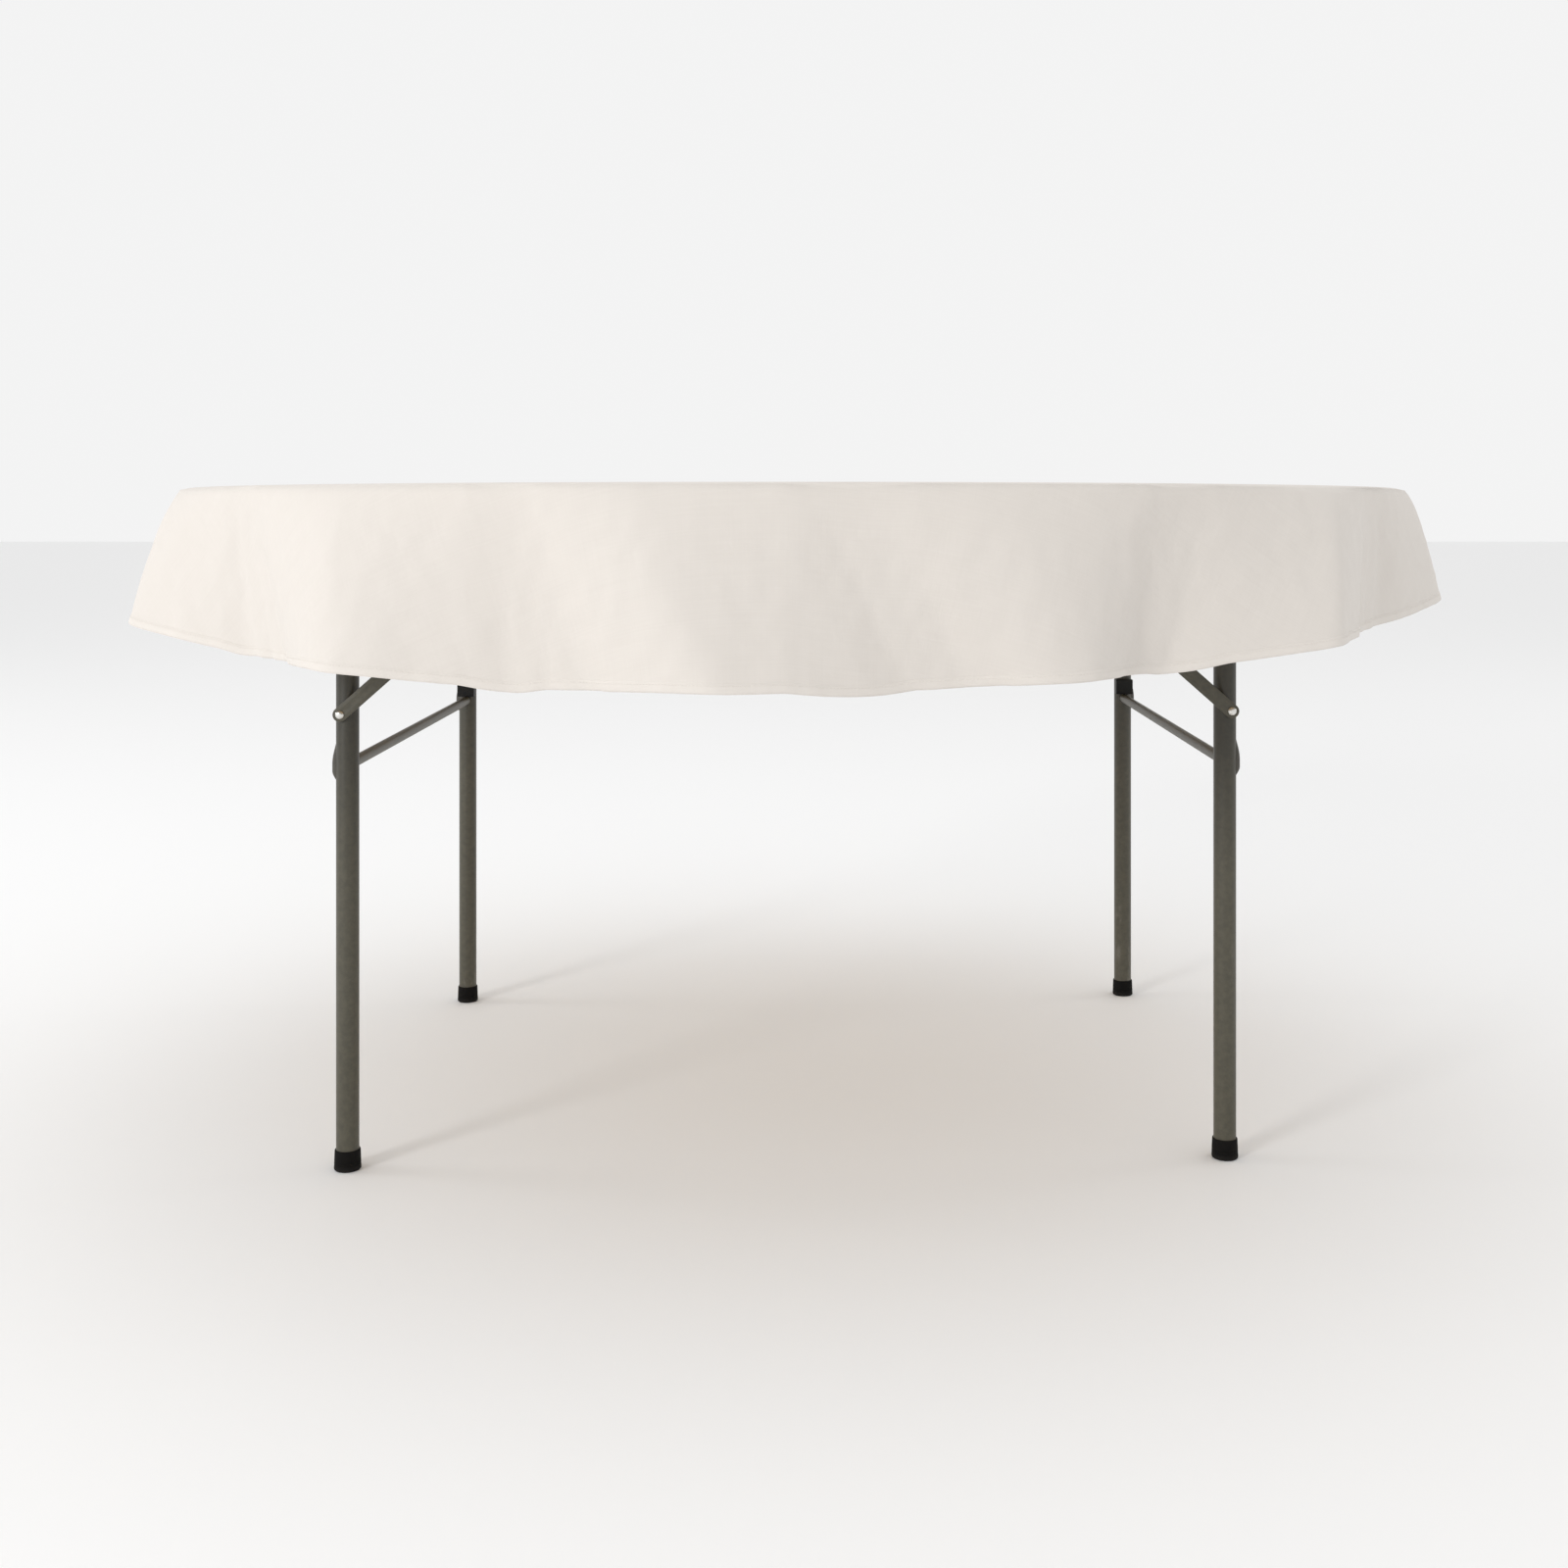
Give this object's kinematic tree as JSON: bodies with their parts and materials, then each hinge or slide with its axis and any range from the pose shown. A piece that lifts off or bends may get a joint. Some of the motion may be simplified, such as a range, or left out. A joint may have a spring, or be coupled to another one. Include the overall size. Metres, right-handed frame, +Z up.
{
  "type": "tablecloth on table",
  "caption": "Round folding table on two inward-folding steel leg frames with jointed braces, under a short off-white cloth that hangs in soft folds.",
  "frame": {"origin": "on the floor under the middle of the table", "axes": "+Z up, -Y towards the side the cloth hangs longest on (the front), +X to the right seen from the front"},
  "size_m": [1.64, 1.6117, 0.764],
  "materials": {
    "linen_cloth": "matte",
    "top_wood": "satin",
    "edge_vinyl": "satin",
    "runner_wood": "matte",
    "frame_paint": "satin",
    "rivet_steel": "satin",
    "foot_rubber": "matte",
    "nylon_dark": "satin"
  },
  "bodies": {
    "table_top": {"tabletop_panel": "top_wood", "edge_trim": "edge_vinyl", "front_runner": "runner_wood", "back_runner": "runner_wood", "centre_batten": "runner_wood", "left_front_hinge_saddle": "frame_paint", "left_front_brace_bracket": "frame_paint", "left_front_bracket_pin": "rivet_steel", "left_back_hinge_saddle": "frame_paint", "left_back_brace_bracket": "frame_paint", "left_back_bracket_pin": "rivet_steel", "right_front_hinge_saddle": "frame_paint", "right_front_brace_bracket": "frame_paint", "right_front_bracket_pin": "rivet_steel", "right_back_hinge_saddle": "frame_paint", "right_back_brace_bracket": "frame_paint", "right_back_bracket_pin": "rivet_steel"},
    "cloth": {"tablecloth": "linen_cloth"},
    "left_leg": {"left_leg_tube": "frame_paint", "left_crossbar": "frame_paint", "left_front_foot_cap": "foot_rubber", "left_front_leg_rivet": "rivet_steel", "left_front_leg_bumper": "nylon_dark", "left_back_foot_cap": "foot_rubber", "left_back_leg_rivet": "rivet_steel", "left_back_leg_bumper": "nylon_dark", "left_back_rest_block": "nylon_dark"},
    "right_leg": {"right_leg_tube": "frame_paint", "right_crossbar": "frame_paint", "right_front_foot_cap": "foot_rubber", "right_front_leg_rivet": "rivet_steel", "right_front_leg_bumper": "nylon_dark", "right_back_foot_cap": "foot_rubber", "right_back_leg_rivet": "rivet_steel", "right_back_leg_bumper": "nylon_dark", "right_back_rest_block": "nylon_dark"},
    "left_front_lower_link": {"left_front_lower_brace": "frame_paint"},
    "left_front_upper_link": {"left_front_upper_brace": "frame_paint", "left_front_knee_rivet": "rivet_steel"},
    "left_back_lower_link": {"left_back_lower_brace": "frame_paint"},
    "left_back_upper_link": {"left_back_upper_brace": "frame_paint", "left_back_knee_rivet": "rivet_steel"},
    "right_front_lower_link": {"right_front_lower_brace": "frame_paint"},
    "right_front_upper_link": {"right_front_upper_brace": "frame_paint", "right_front_knee_rivet": "rivet_steel"},
    "right_back_lower_link": {"right_back_lower_brace": "frame_paint"},
    "right_back_upper_link": {"right_back_upper_brace": "frame_paint", "right_back_knee_rivet": "rivet_steel"}
  },
  "joints": [
    {"name": "left_leg_fold", "type": "hinge", "parent": "table_top", "child": "left_leg", "pos_m": [-0.495, -0.0185, 0.703], "axis": [0, -1, 0], "range_deg": [0, 90]},
    {"name": "right_leg_fold", "type": "hinge", "parent": "table_top", "child": "right_leg", "pos_m": [0.495, 0.0185, 0.703], "axis": [0, 1, 0], "range_deg": [0, 90]},
    {"name": "left_front_lower_link_turn", "type": "hinge", "parent": "left_leg", "child": "left_front_lower_link", "pos_m": [-0.5, -0.3872, 0.51], "axis": [0, -1, 0], "range_deg": [-132, 0]},
    {"name": "left_front_upper_link_turn", "type": "hinge", "parent": "table_top", "child": "left_front_upper_link", "pos_m": [-0.287, -0.3906, 0.698], "axis": [0, -1, 0], "range_deg": [0, 139]},
    {"name": "left_back_lower_link_turn", "type": "hinge", "parent": "left_leg", "child": "left_back_lower_link", "pos_m": [-0.5, 0.3502, 0.51], "axis": [0, -1, 0], "range_deg": [-132, 0]},
    {"name": "left_back_upper_link_turn", "type": "hinge", "parent": "table_top", "child": "left_back_upper_link", "pos_m": [-0.287, 0.3536, 0.698], "axis": [0, -1, 0], "range_deg": [0, 139]},
    {"name": "right_front_lower_link_turn", "type": "hinge", "parent": "right_leg", "child": "right_front_lower_link", "pos_m": [0.5, -0.3502, 0.51], "axis": [0, 1, 0], "range_deg": [-132, 0]},
    {"name": "right_front_upper_link_turn", "type": "hinge", "parent": "table_top", "child": "right_front_upper_link", "pos_m": [0.287, -0.3536, 0.698], "axis": [0, 1, 0], "range_deg": [0, 139]},
    {"name": "right_back_lower_link_turn", "type": "hinge", "parent": "right_leg", "child": "right_back_lower_link", "pos_m": [0.5, 0.3872, 0.51], "axis": [0, 1, 0], "range_deg": [-132, 0]},
    {"name": "right_back_upper_link_turn", "type": "hinge", "parent": "table_top", "child": "right_back_upper_link", "pos_m": [0.287, 0.3906, 0.698], "axis": [0, 1, 0], "range_deg": [0, 139]},
    {"name": "tablecloth_lift", "type": "slide", "parent": "table_top", "child": "cloth", "axis": [0, 0, 1], "range_m": [0, 0.25]}
  ],
  "couplings": [
    {"joint": "left_front_lower_link_turn", "follows": "left_leg_fold", "ratio": -1.4604},
    {"joint": "left_front_upper_link_turn", "follows": "left_leg_fold", "ratio": 1.5396},
    {"joint": "left_back_lower_link_turn", "follows": "left_leg_fold", "ratio": -1.4604},
    {"joint": "left_back_upper_link_turn", "follows": "left_leg_fold", "ratio": 1.5396},
    {"joint": "right_front_lower_link_turn", "follows": "right_leg_fold", "ratio": -1.4604},
    {"joint": "right_front_upper_link_turn", "follows": "right_leg_fold", "ratio": 1.5396},
    {"joint": "right_back_lower_link_turn", "follows": "right_leg_fold", "ratio": -1.4604},
    {"joint": "right_back_upper_link_turn", "follows": "right_leg_fold", "ratio": 1.5396}
  ]
}
